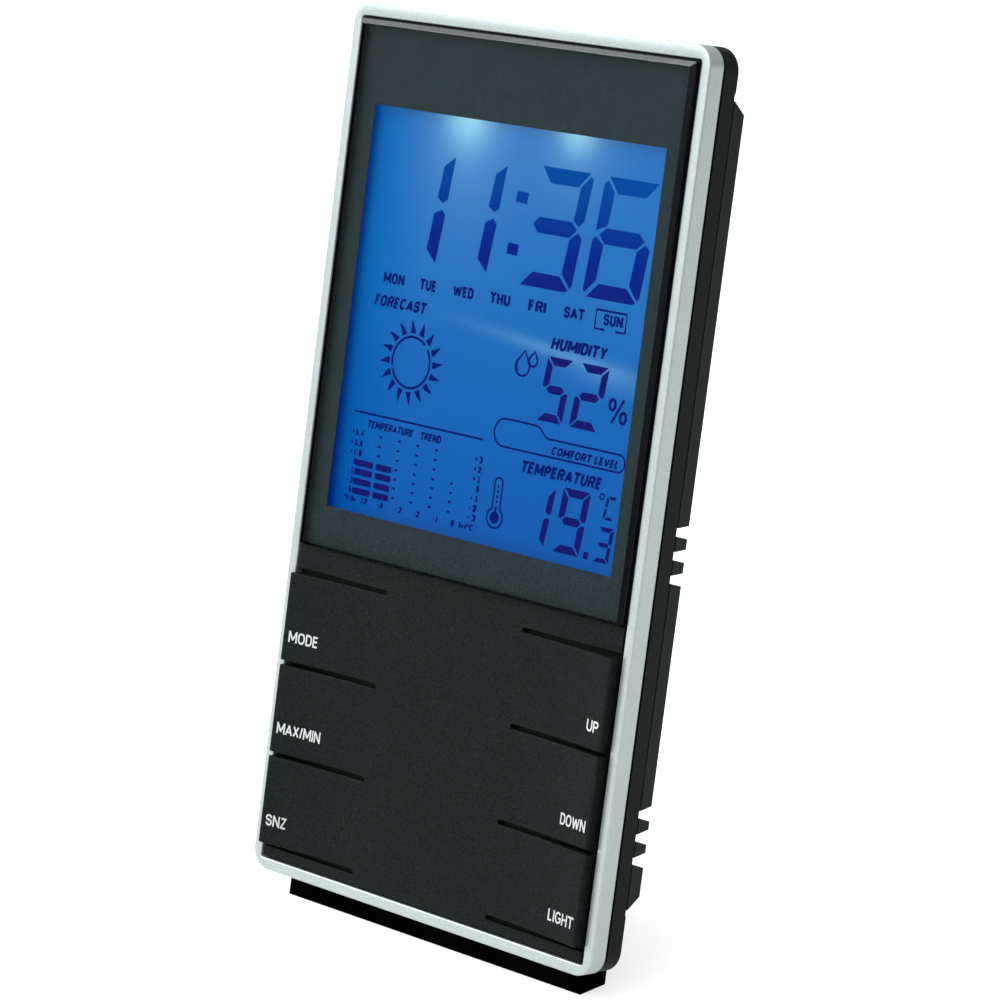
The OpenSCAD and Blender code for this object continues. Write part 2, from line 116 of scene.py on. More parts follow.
def mixed(tree, first, second, factor=1.0, mode="MULTIPLY"):
    """Combines two colours. The factor is a number or a socket, and the second colour may be plain."""
    node = tree.nodes.new("ShaderNodeMix")
    node.data_type = "RGBA"
    node.blend_type = mode
    if isinstance(factor, float):
        node.inputs["Factor"].default_value = factor
    else:
        tree.links.new(factor, node.inputs["Factor"])
    tree.links.new(first, node.inputs[6])
    if isinstance(second, tuple):
        node.inputs[7].default_value = (*second, 1)
    else:
        tree.links.new(second, node.inputs[7])
    return node.outputs[2]


def bump(tree, shader, height, strength, distance):
    node = tree.nodes.new("ShaderNodeBump")
    node.inputs["Strength"].default_value = strength
    node.inputs["Distance"].default_value = distance
    tree.links.new(height, node.inputs["Height"])
    tree.links.new(node.outputs[0], shader.inputs["Normal"])


def moulded(name, dark, light, rough, grain, strength, depth=0.00002, spec=0.5, speck=None):
    """Moulded plastic: two close colours mottled over the surface, with a fine textured grain."""
    material, tree, shader = new_material(name)
    fine = noise(tree, grain)
    broad = noise(tree, grain / 28.0, 2.0)
    colour = ramp(tree, broad, [(0.3, dark), (0.7, light)])
    if speck:
        low, high = ((level,) * 3 for level in speck)
        dots = ramp(tree, noise(tree, 3300.0, 2.0), [(0.35, low), (0.5, (1.0, 1.0, 1.0)), (0.68, high)])
        colour = mixed(tree, colour, dots)
    tree.links.new(colour, shader.inputs["Base Color"])
    tree.links.new(span(tree, broad, *rough), shader.inputs["Roughness"])
    shader.inputs["Specular IOR Level"].default_value = spec
    bump(tree, shader, fine, strength, depth)
    return material


def metal(name, dark, light, rough, scale=900.0):
    material, tree, shader = new_material(name)
    flecks = noise(tree, scale)
    tree.links.new(ramp(tree, flecks, [(0.3, dark), (0.7, light)]), shader.inputs["Base Color"])
    tree.links.new(span(tree, flecks, *rough), shader.inputs["Roughness"])
    shader.inputs["Metallic"].default_value = 1.0
    bump(tree, shader, flecks, 0.12, 0.00001)
    return material


def silver_paint():
    """Satin silver paint: fine metallic flake over plastic."""
    material, tree, shader = new_material("silver_paint")
    flake = noise(tree, 3600.0, 2.0)
    broad = noise(tree, 160.0, 2.0)
    fine_tone = ramp(tree, flake, [(0.35, (0.302, 0.351, 0.346)), (0.65, (0.395, 0.452, 0.446))])
    broad_tone = ramp(tree, broad, [(0.3, (0.335, 0.385, 0.381)), (0.7, (0.365, 0.415, 0.411))])
    tree.links.new(mixed(tree, fine_tone, broad_tone, 0.5, "MIX"), shader.inputs["Base Color"])
    tree.links.new(span(tree, flake, 0.29, 0.38), shader.inputs["Roughness"])
    shader.inputs["Metallic"].default_value = 0.6
    bump(tree, shader, flake, 0.10, 0.000008)
    return material


def case_bands(material):
    """The case's edge shows two bands: the raised back is lighter than the rim, and brightest just behind the
    parting line, where that is a painted highlight.
    """
    rim_end = 7.2
    tree = material.node_tree
    shader = next(node for node in tree.nodes if node.type == "BSDF_PRINCIPLED")
    plain = shader.inputs["Base Color"].links[0].from_socket
    coords = tree.nodes.new("ShaderNodeTexCoord")
    depth = tree.nodes.new("ShaderNodeVectorMath")
    depth.operation = "DOT_PRODUCT"
    depth.inputs[1].default_value = (0.0, LEAN_COS * 1000.0, -LEAN_SIN * 1000.0)
    tree.links.new(coords.outputs["Object"], depth.inputs[0])
    edge = LEAN_COS * OFF_Y - LEAN_SIN * OFF_Z + rim_end
    at = span(tree, depth.outputs["Value"], 0.0, 1.0, edge - 1.0, edge + 1.0)
    # the rise to 2.8 just behind the parting line is a painted highlight along that edge; the rest is the two
    # tones of the case
    bands = ramp(tree, at, [(0.0, (0.9, 0.9, 0.9)), (0.49, (0.8, 0.8, 0.8)), (0.52, (2.8, 2.8, 2.7)),
                            (1.0, (2.4, 2.4, 2.4))])
    tree.links.new(mixed(tree, plain, bands), shader.inputs["Base Color"])


SILVER = silver_paint()
SHELL = moulded("shell_black", (0.0030, 0.0046, 0.0040), (0.0042, 0.0060, 0.0054), (0.50, 0.54), 2600.0, 0.35,
                spec=0.08)
case_bands(SHELL)
CHASSIS = moulded("chassis_black", (0.003, 0.003, 0.003), (0.004, 0.004, 0.004), (0.5, 0.6), 2600.0, 0.2,
                  spec=0.08)
KEYPAD = moulded("keypad_soft_touch", (0.0032, 0.0055, 0.0053), (0.0041, 0.0067, 0.0064), (0.50, 0.53),
                 3000.0, 0.55, 0.00003, 0.058, speck=(0.55, 1.9))
# the foot is painted several times darker than the shell's black: painted shade, as it sits in the shadow
# under the leaning case
FOOT_PAINTED_SHADE = moulded("foot_rubber", (0.0006, 0.0005, 0.0006), (0.0012, 0.0010, 0.0011), (0.75, 0.88), 1800.0, 0.4,
               spec=0.0)
MASK = moulded("mask_print", (0.0146, 0.0222, 0.0230), (0.0156, 0.0236, 0.0244), (0.30, 0.36), 5200.0, 0.0,
               spec=0.0, speck=(0.75, 1.25))


def lens_material(name, alpha, colour, ior, rough=0.035):
    """Clear acrylic seen as a thin sheet: what is behind shows through, and its gloss stays."""
    material, tree, shader = new_material(name)
    smears = noise(tree, 60.0, 2.0)
    tree.links.new(span(tree, smears, rough * 0.8, rough * 1.3), shader.inputs["Roughness"])
    shader.inputs["Base Color"].default_value = (*colour, 1)
    shader.inputs["IOR"].default_value = ior
    shader.inputs["Alpha"].default_value = alpha
    return material


LENS = lens_material("lens_clear", 0.005, (0.004, 0.005, 0.005), 2.0)
LENS_EDGE = lens_material("lens_edge", 0.92, (0.001, 0.0012, 0.0012), 1.25, 0.10)
# the top bevel and top wall are paler and clearer than the other edges: a painted highlight where they catch
# the light from above
LENS_TOP_PAINTED_HIGHLIGHT = lens_material("lens_top_bevel_painted_highlight", 0.6, (0.055, 0.066, 0.072), 1.6, 0.18)


def glowing(tree, shader, base, emission):
    """A matt surface that gives off light of its own."""
    shader.inputs["Base Color"].default_value = (*base, 1)
    shader.inputs["Roughness"].default_value = 0.6
    shader.inputs["Specular IOR Level"].default_value = 0.0
    tree.links.new(emission, shader.inputs["Emission Color"])
    shader.inputs["Emission Strength"].default_value = 1.0


def lit_display():
    """The back light seen through the glass: two lamps at the top edge, dimmer to the left and the bottom,
    with a pale band across it that is a painted reflection.
    """
    material, tree, shader = new_material("lcd_lit")
    coords = tree.nodes.new("ShaderNodeTexCoord")
    place = tree.nodes.new("ShaderNodeSeparateXYZ")
    tree.links.new(coords.outputs["UV"], place.inputs[0])
    across, up = place.outputs[0], place.outputs[1]

    def calc(op, first, second, clamp=False):
        node = tree.nodes.new("ShaderNodeMath")
        node.operation = op
        node.use_clamp = clamp
        for i, value in enumerate((first, second)):
            if isinstance(value, float):
                node.inputs[i].default_value = value
            else:
                tree.links.new(value, node.inputs[i])
        return node.outputs[0]

    def glow(cx, cz, wx, wz, level, height=up):
        """A soft spot of light round (cx, cz), wx wide and wz high."""
        dx = calc("DIVIDE", calc("SUBTRACT", across, cx), wx)
        dz = calc("DIVIDE", calc("SUBTRACT", height, cz), wz)
        far = calc("ADD", calc("MULTIPLY", dx, dx), calc("MULTIPLY", dz, dz))
        return calc("MULTIPLY", calc("POWER", 2.718, calc("MULTIPLY", far, -1.0)), level)

    fall = ramp(tree, up, [(0.0, (0.009, 0.043, 0.215)), (0.35, (0.012, 0.067, 0.248)),
                           (0.6, (0.021, 0.101, 0.290)), (0.85, (0.026, 0.107, 0.306)),
                           (1.0, (0.026, 0.107, 0.310))])
    left = ramp(tree, across, [(0.0, (0.0, 0.20, 0.60)), (0.012, (0.0, 0.35, 0.75)),
                               (0.028, (0.10, 0.70, 0.90)), (0.08, (0.30, 0.80, 0.92)),
                               (0.25, (1.0, 1.0, 1.0)), (0.8, (1.0, 1.0, 1.0)),
                               (1.0, (1.05, 1.08, 1.05))])
    lamps = calc("ADD", glow(0.348, 1.01, 0.075, 0.075, 0.62), glow(0.735, 1.015, 0.062, 0.055, 0.62))
    halos = calc("ADD", glow(0.36, 1.0, 0.17, 0.22, 0.16), glow(0.735, 1.0, 0.15, 0.16, 0.128))
    # the pale band tilted across the display is a painted reflection on the glass, added to the back light
    tilted = calc("ADD", up, calc("MULTIPLY", calc("SUBTRACT", across, 0.74), 0.085))
    painted_reflection_band = calc("ADD", glow(0.76, 0.492, 0.26, 0.016, 0.14, tilted),
                glow(0.93, 0.475, 0.13, 0.03, 0.10, tilted))
    bright = calc("ADD", calc("ADD", lamps, halos), painted_reflection_band, True)
    light = mixed(tree, mixed(tree, fall, left), (0.42, 0.84, 0.95), bright, "MIX")
    grain = ramp(tree, noise(tree, 5200.0), [(0.3, (0.90, 0.92, 0.95)), (0.7, (1.0, 1.0, 1.0))])
    glowing(tree, shader, (0.0, 0.034, 0.108), mixed(tree, light, grain, 0.6))
    return material


# the display window's half width, bottom and top
WIN_X, WIN_LO, WIN_HI = 32.05, 64.56, 133.2


def segment_material(name, low, middle, high):
    """Driven segments: dark, but they let a little blue light through, and more of it near the lamps."""
    material, tree, shader = new_material(name)
    coords = tree.nodes.new("ShaderNodeTexCoord")
    place = tree.nodes.new("ShaderNodeSeparateXYZ")
    tree.links.new(coords.outputs["Object"], place.inputs[0])
    up = span(tree, place.outputs[2], 0.0, 1.0, leaned(0, 2.0, WIN_LO)[2], leaned(0, 2.0, WIN_HI)[2])
    colour = ramp(tree, up, [(0.0, low), (0.52, low), (0.72, middle), (0.90, high)])
    glowing(tree, shader, (0.001, 0.001, 0.004), colour)
    return material


LIT = lit_display()
SEG = segment_material("lcd_segments", (0.008, 0.009, 0.150), (0.001, 0.020, 0.25), (0.0, 0.072, 0.34))
INK = segment_material("lcd_small_marks", (0.002, 0.010, 0.15), (0.002, 0.012, 0.17), (0.002, 0.022, 0.20))
LABEL = moulded("label_ink", (0.34, 0.36, 0.355), (0.42, 0.44, 0.435), (0.45, 0.55), 5000.0, 0.1)


# -------------------- mesh helpers
def make(name, verts, faces, mats, body="case", face_mats=None, smooth_angle=None, uvs=None):
    """A new piece from points of the upright drawing, riding on a body unless the body is None."""
    mesh = bpy.data.meshes.new(name)
    mesh.from_pydata([leaned(*v) for v in verts], [], faces)
    for material in mats if isinstance(mats, (list, tuple)) else [mats]:
        mesh.materials.append(material)
    if face_mats:
        for face, i in zip(mesh.polygons, face_mats):
            face.material_index = i
    if uvs:
        layer = mesh.uv_layers.new(name="UVMap")
        for loop in mesh.loops:
            layer.data[loop.index].uv = uvs[loop.vertex_index]
    mesh.validate()
    mesh.update()
    piece = bpy.data.objects.new(name, mesh)
    bpy.context.scene.collection.objects.link(piece)
    if smooth_angle is not None:
        for face in mesh.polygons:
            face.use_smooth = True
        mesh.set_sharp_from_angle(angle=math.radians(smooth_angle))
    if body:
        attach(piece, body)
    return piece


def soften(piece, width, segments, angle):
    """Rounds a piece's edges: width in metres, and the least angle between two faces in degrees."""
    bevel = piece.modifiers.new("soft_edges", "BEVEL")
    bevel.width = width
    bevel.segments = segments
    bevel.limit_method = "ANGLE"
    bevel.angle_limit = math.radians(angle)
    bevel.harden_normals = True


def arc(start, end, steps):
    """Angles in radians between a start and an end in degrees."""
    return [math.radians(start + (end - start) * i / steps) for i in range(steps + 1)]


def outline(half, low, high, radius, steps):
    """Rounded rectangle in x and z, counter-clockwise from the lower right corner."""
    points = []
    side, bottom, top = half - radius, low + radius, high - radius
    corners = ((side, bottom, -90), (side, top, 0), (-side, top, 90), (-side, bottom, 180))
    for cx, cz, start in corners:
        for a in arc(start, start + 90.0, steps):
            points.append((cx + radius * math.cos(a), cz + radius * math.sin(a)))
    return points


def closed_loft(name, rings, material, steps, smooth_angle):
    """Skins a closed loop of (half width, low, high, corner radius, depth) rings."""
    verts, faces = [], []
    for half, low, high, radius, y in rings:
        verts += [(x, y, z) for x, z in outline(half, low, high, radius, steps)]
    around = 4 * (steps + 1)
    for j in range(len(rings)):
        here, there = j * around, ((j + 1) % len(rings)) * around
        for i in range(around):
            after = (i + 1) % around
            faces.append((here + i, here + after, there + after, there + i))
    return make(name, verts, faces, material, smooth_angle=smooth_angle)


# -------------------- front frame
def front_frame():
    """The silver ring, as a section that runs round: opening, face, outside and back."""
    half_width, height, corner, depth = 39.0, 150.0, 3.5, 3.5
    open_half, open_low, open_high, open_corner = 37.1, 2.0, 147.7, 0.45
    step_y = 2.4
    # radii of the rounded edges
    opening_edge, face_edge, back_edge = 0.25, 0.38, 0.22
    rings = []

    def outer(inset, y):
        rings.append((half_width - inset, inset, height - inset, corner - inset, y))

    def inner(grow, y):
        rings.append((open_half + grow, open_low - grow, open_high + grow, open_corner + grow, y))

    inner(0, step_y)
    inner(0, 0.3)
    for a in arc(0, 90, 3):
        inner(opening_edge * (1 - math.cos(a)), opening_edge * (1 - math.sin(a)))
    for a in arc(90, 0, 4):
        outer(face_edge * (1 - math.cos(a)), face_edge * (1 - math.sin(a)))
    outer(0, 0.6)
    outer(0, depth - 0.3)
    for a in arc(0, 90, 3):
        outer(back_edge * (1 - math.cos(a)), depth - back_edge * (1 - math.sin(a)))
    outer(1.0, depth)
    outer(1.0, step_y + 0.02)
    piece = closed_loft("frame_ring", rings, SILVER, 10, 50)
    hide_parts("front_frame")


front_frame()


# -------------------- lens
def lens():
    """Clear plate, bevelled at its top and sides but not at its bottom."""
    half, low, high, bevel = 36.65, 57.55, 147.25, 0.83
    face, side, back = -1.1, -0.55, 0.49
    points = [(-half + bevel, face, low), (half - bevel, face, low), (half - bevel, face, high - bevel),
              (-half + bevel, face, high - bevel)]
    outside = ((-half, low), (half, low), (half, high), (-half, high))
    points += [(x, y, z) for y in (side, back) for x, z in outside]
    # the face, three bevels and three walls, then the bottom and the back
    faces = [(0, 1, 2, 3), (1, 5, 6, 2), (2, 6, 7, 3), (3, 7, 4, 0), (5, 9, 10, 6), (6, 10, 11, 7),
             (7, 11, 8, 4), (0, 4, 8, 9, 5, 1), (11, 10, 9, 8)]
    # index 2, on the top bevel and top wall, is the paler top material, a painted highlight
    materials = [0, 1, 2, 1, 1, 2, 1, 1, 0]
    piece = make("lens_plate", points, faces, [LENS, LENS_EDGE, LENS_TOP_PAINTED_HIGHLIGHT], face_mats=materials)
    soften(piece, 0.00009, 2, 20)
    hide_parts("lens")


lens()


# -------------------- display mask with its window
def mask():
    """Printed sheet with the window left open."""
    half, low, high = 36.5, 57.7, 147.1
    outside = [(-half, low), (half, low), (half, high), (-half, high)]
    window = [(-WIN_X, WIN_LO), (WIN_X, WIN_LO), (WIN_X, WIN_HI), (-WIN_X, WIN_HI)]
    points = [(x, y, z) for y in (0.5, 0.6) for x, z in outside + window]
    faces = []
    for i in range(4):
        j = (i + 1) % 4
        faces += [(i, j, 4 + j, 4 + i), (8 + j, 8 + i, 12 + i, 12 + j), (4 + i, 4 + j, 12 + j, 12 + i),
                  (j, i, 8 + i, 8 + j)]
    piece = make("mask_print", points, faces, MASK)
    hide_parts("display_mask")


mask()


# -------------------- display: lit glass and its marks
# the lit layer, and the marks just in front of it
LCD_Y = 2.3
MARK_Y = 2.26
# the part of the sheet that the light's pattern is spread over
LIGHT_X, LIGHT_Z, LIGHT_WIDE = -33.6, 64.0, 62.0


def lit_panel():
    """The sheet that carries the light, larger than the window."""
    half, low, high = 34.6, 57.7, 138.3
    points = [(-half, LCD_Y, low), (half, LCD_Y, low), (half, LCD_Y, high), (-half, LCD_Y, high)]
    uv = [((x - LIGHT_X) / LIGHT_WIDE, (z - LIGHT_Z) / (WIN_HI - LIGHT_Z)) for x, _, z in points]
    piece = make("lcd_lit_layer", points, [(0, 1, 2, 3)], LIT, uvs=uv)


lit_panel()

# Marks are drawn in millimetres, to the right of MARK_X and down from MARK_Z.
MARK_X, MARK_Z = -35.62, 101.62
marks = {"seg": [[], []], "ink": [[], []]}


def signed_area(points):
    """Twice the area of an outline, positive when it runs counter-clockwise in x and up."""
    return sum(p[0] * q[1] - q[0] * p[1] for p, q in zip(points, points[1:] + points[:1]))


def poly(kind, points):
    """Adds a filled outline, turned to face the front."""
    verts, faces = marks[kind]
    base = len(verts)
    verts.extend(points[::-1] if signed_area(points) > 0 else points)
    faces.append(tuple(range(base, base + len(points))))


def stroke(kind, points, width, closed=False):
    """Adds a line of constant width through points."""
    count = len(points)
    left, right = [], []
    for i in range(count):
        before = points[i - 1] if (i > 0 or closed) else points[i]
        after = points[(i + 1) % count] if (i < count - 1 or closed) else points[i]
        dx, dy = after[0] - before[0], after[1] - before[1]
        length = math.hypot(dx, dy) or 1.0
        nx, ny = -dy / length * width / 2, dx / length * width / 2
        left.append((points[i][0] + nx, points[i][1] + ny))
        right.append((points[i][0] - nx, points[i][1] - ny))
    for i in range(count if closed else count - 1):
        j = (i + 1) % count
        poly(kind, [left[i], left[j], right[j], right[i]])


def round_points(cx, cy, rx, ry, start, end, steps):
    """Points round an oval, with angles counter-clockwise from the right."""
    return [(cx + rx * math.cos(a), cy - ry * math.sin(a)) for a in arc(start, end, steps)]


def digit(which, x, y, w, h, t, gap, slant):
    """Seven-segment digit in a box of w by h with its upper left at (x, y), leaning right by slant.
    The segments that which names are t thick; m is half the height and g is half the gap."""
    m = h / 2.0
    g = gap / 2.0
    shapes = {
        "a": [(g, 0), (w - g, 0), (w - t - g, t), (t + g, t)],
        "b": [(w, g), (w, m - g - t * 0.1), (w - t * 0.4, m - g), (w - t, m - t * 0.45 - g), (w - t, t + g)],
        "c": [(w - t * 0.4, m + g), (w, m + g + t * 0.1), (w, h - g), (w - t, h - t - g),
              (w - t, m + t * 0.45 + g)],
        "d": [(t + g, h - t), (w - t - g, h - t), (w - g, h), (g, h)],
        "e": [(t * 0.4, m + g), (t, m + t * 0.45 + g), (t, h - t - g), (0, h - g), (0, m + g + t * 0.1)],
        "f": [(0, g), (t, t + g), (t, m - t * 0.45 - g), (t * 0.4, m - g), (0, m - g - t * 0.1)],
        "g": [(t * 0.5 + g, m), (t + g * 0.8, m - t * 0.5), (w - t - g * 0.8, m - t * 0.5),
              (w - t * 0.5 - g, m), (w - t - g * 0.8, m + t * 0.5), (t + g * 0.8, m + t * 0.5)],
    }
    for s in which:
        poly("seg", [(x + px + (h - py) * slant, y + py) for px, py in shapes[s]])


ONE = (((21.75, -24.85), (19.4, -23.1), (18.65, -17.75), (20.0, -16.95), (21.0, -17.6)),
       ((20.0, -15.9), (20.9, -15.1), (19.9, -6.9), (17.6, -9.0), (18.35, -15.1)))
COLON = (((36.2, -21.1), (38.7, -21.0), (38.5, -19.15), (36.0, -19.25)),
         ((35.55, -12.5), (37.9, -12.4), (37.75, -10.55), (35.35, -10.65)))
# what 3 and 6 share: top, middle, lower right and bottom
SHARED = (((41.0, -25.75), (51.4, -25.75), (49.0, -23.15), (43.1, -23.15)),
          ((41.6, -17.5), (48.6, -17.5), (49.9, -16.3), (48.4, -14.9), (41.6, -14.9), (40.3, -16.25)),
          ((51.1, -15.1), (50.25, -7.25), (49.8, -6.75), (47.8, -9.0), (48.5, -14.6), (50.15, -15.9)),
          ((41.5, -8.5), (47.4, -8.5), (49.5, -6.5), (48.9, -6.1), (39.1, -6.1)))
ONLY_THREE = (((51.5, -25.25), (52.05, -24.7), (51.2, -17.9), (50.15, -16.85), (48.9, -17.75),
               (49.6, -23.25)),)
ONLY_SIX = (((55.2, -25.1), (56.8, -23.2), (56.2, -17.9), (53.8, -16.85), (54.4, -24.5)),
            ((54.0, -15.95), (55.8, -14.75), (55.1, -8.9), (53.0, -6.75), (52.65, -7.25), (53.3, -15.25)))


def draw_time():
    """11:36, whose digits have cut corners like the real display's."""
    def shapes(outlines, dx=0.0):
        for points in outlines:
            poly("seg", [(x + dx, y) for x, y in points])

    shapes(ONE)
    shapes(ONE, 11.6)
    shapes(COLON)
    shapes(SHARED)
    shapes(ONLY_THREE)
    shapes(SHARED, 14.35)
    shapes(ONLY_SIX)


def draw_day_box():
    """The frame round the day, open below its name."""
    stroke("ink", [(58.25, -1.4), (56.15, -1.4), (56.15, -4.45), (62.6, -4.45), (62.6, -1.4), (60.6, -1.4)],
           0.4)


def draw_sun():
    """A ring in two pieces, with sixteen curved rays."""
    cx, cy, r = 17.25, 10.25, 4.3
    for start, end in ((38, -160), (195, 50)):
        stroke("ink", round_points(cx, cy, r, r, start, end, 48), 0.425)
    for k in range(16):
        a = math.radians(k * 22.5 + 3)
        c, q = math.cos(a), math.sin(a)
        left, right = [], []
        for t in (0.0, 0.25, 0.5, 0.75, 1.0):
            out = 4.9 + 2.35 * t
            half = 0.625 * (1 - t) ** 0.8
            bend = 0.45 * t * t
            for side, row in ((bend + half, left), (bend - half, right)):
                row.append((cx + out * c - side * q, cy - out * q - side * c))
        poly("ink", left + right[::-1])


def draw_drops():
    """A large and a small drop, with a glint in the large one."""
    for x0, y0, r, tip in ((42.0, 7.1, 1.5, 4.4), (44.15, 5.85, 0.9, 4.3)):
        stroke("ink", [(x0 + 0.25, tip)] + round_points(x0, y0, r, r, 35, -215, 24), 0.375, True)
    stroke("ink", [(40.95, 6.6), (40.8, 7.4), (41.3, 7.9)], 0.2)


def draw_humidity():
    """52 and a percent sign."""
    digit("afgcd", 46.25, 4.5, 5.6, 10.6, 1.35, 0.45, 0.098)
    digit("abged", 53.4, 4.5, 6.05, 10.6, 1.35, 0.45, 0.098)
    for cx, cy in ((62.0, 10.15), (64.5, 12.0)):
        stroke("ink", round_points(cx, cy, 0.6, 0.85, 0, -345, 23), 0.55, True)
    stroke("ink", [(64.3, 9.05), (62.2, 13.1)], 0.5)


def draw_comfort_outline():
    """One outline, taller at its left."""
    left = round_points(40.0, 18.35, 2.3, 2.3, 270, 90, 24)
    step = [(46.5, 16.05), (47.4, 16.3), (48.1, 16.9), (48.7, 17.45), (49.5, 17.8)]
    right = round_points(64.8, 19.225, 1.3, 1.425, 90, -90, 14)
    stroke("ink", left + step + right, 0.325, True)


def draw_thermometer():
    """Tube and bulb, with the filling and four marks over it."""
    tube = [(39.3, 31.1), (39.3, 26.7)] + round_points(40.15, 26.7, 0.85, 0.85, 170, 10, 10)
    tube += [(41.0, 26.7), (41.0, 31.1)]
    stroke("ink", tube + round_points(40.1, 32.5, 1.7, 1.7, 55, -235, 28), 0.325, True)
    poly("ink", round_points(40.05, 32.5, 1.0, 1.0, 0, 345, 23))
    poly("ink", [(39.85, 31.7), (40.35, 31.7), (40.35, 30.6), (39.85, 30.6)])
    for i in range(4):
        low, high = 30.1 - i * 0.85, 29.6 - i * 0.85
        poly("ink", [(39.95, low), (40.3, low), (40.3, high), (39.95, high)])


def draw_temperature():
    """19.3, with a degree sign and a C."""
    poly("seg", [(52.6, 25.5), (51.2, 26.9), (50.8, 29.5), (51.6, 30.0), (52.1, 29.6)])
    poly("seg", [(51.5, 30.45), (51.9, 30.9), (51.3, 35.2), (50.2, 34.1), (50.65, 30.9)])
    digit("abfgcd", 53.15, 24.9, 5.85, 10.65, 1.35, 0.45, 0.094)
    poly("seg", [(60.0, 34.4), (61.05, 34.4), (60.95, 35.55), (59.9, 35.55)])
    digit("abgcd", 61.95, 29.75, 3.3, 5.8, 0.75, 0.3, 0.09)
    stroke("ink", round_points(62.3, 25.0, 0.45, 0.45, 0, -340, 17), 0.25, True)
    poly("ink", [(63.7, 24.7), (65.4, 24.7), (65.1, 25.2), (64.2, 25.2)])
    poly("ink", [(63.45, 24.85), (63.95, 25.35), (63.7, 26.5), (63.2, 26.5)])
    poly("ink", [(63.15, 26.8), (63.65, 26.8), (63.5, 28.0), (62.95, 28.4)])
    poly("ink", [(63.3, 28.6), (65.0, 28.6), (64.8, 28.1), (63.7, 28.1)])


def draw_trend_chart():
    """A line over the chart, the filled bars, and the dots of the empty ones."""
    poly("ink", [(5.75, 20.075), (35.6, 20.075), (35.6, 20.425), (5.75, 20.425)])
    cut, tall = 0.2, 1.1
    for y0 in (28.3, 29.85, 31.5, 33.1):
        for x0, x1 in ((7.3, 11.55), (12.2, 15.9)):
            poly("seg", [(x0 + cut, y0), (x1 - cut, y0), (x1, y0 + cut), (x1, y0 + tall - cut),
                         (x1 - cut, y0 + tall), (x0 + cut, y0 + tall), (x0, y0 + tall - cut), (x0, y0 + cut)])
    rows = (23.75, 25.4, 27.0, 28.65, 30.2, 31.75, 33.35)
    for x0, used in ((12.5, rows[:3]), (16.9, rows), (21.2, rows), (25.5, rows), (29.8, rows[3:])):
        for y0 in used:
            poly("ink", [(x0 - 0.35, y0 - 0.2), (x0 + 0.35, y0 - 0.2), (x0 + 0.25, y0 + 0.2),
                         (x0 - 0.35, y0 + 0.2)])


def on_display(x, y):
    """A point of the marks, x to the right and y down."""
    return (MARK_X + x, MARK_Y, MARK_Z - y)


def place_marks(kind, name, material):
    """The outlines of one kind as a piece of the display."""
    verts, faces = marks[kind]
    piece = make(name, [on_display(x, y) for x, y in verts], faces, material)


draw_time()
draw_day_box()
draw_sun()
draw_drops()
draw_humidity()
draw_comfort_outline()
draw_thermometer()
draw_temperature()
draw_trend_chart()
place_marks("seg", "lcd_segments", SEG)
place_marks("ink", "lcd_marks", INK)


def ring(x0, x1, y0, y1, start, end, steps):
    """Points between two angles on an oval that is a little squarer than an ellipse."""
    cx, cy, rx, ry = (x0 + x1) / 2, (y0 + y1) / 2, (x1 - x0) / 2, (y1 - y0) / 2
    power = 2.4

    def squarish(value):
        return math.copysign(abs(value) ** (2 / power), value)

    angles = arc(start, end, steps)
    return [(cx + rx * squarish(math.cos(a)), cy + ry * squarish(math.sin(a))) for a in angles]


BOWL = [(0, 1), (0.5, 1)] + ring(0.1, 1, 0.48, 1, 80, -80, 8) + [(0.5, 0.48), (0, 0.48)]
OVAL = ring(0, 1, 0, 1, 90, 435, 23)
OPEN = ring(0, 1, 0, 1, 38, 322, 20)
CURVE_S = [(0.96, 0.76)] + ring(0, 0.98, 0.52, 1, 30, 250, 12)
CURVE_S += ring(0.02, 1, 0, 0.52, 70, -150, 12) + [(0.0, 0.26)]
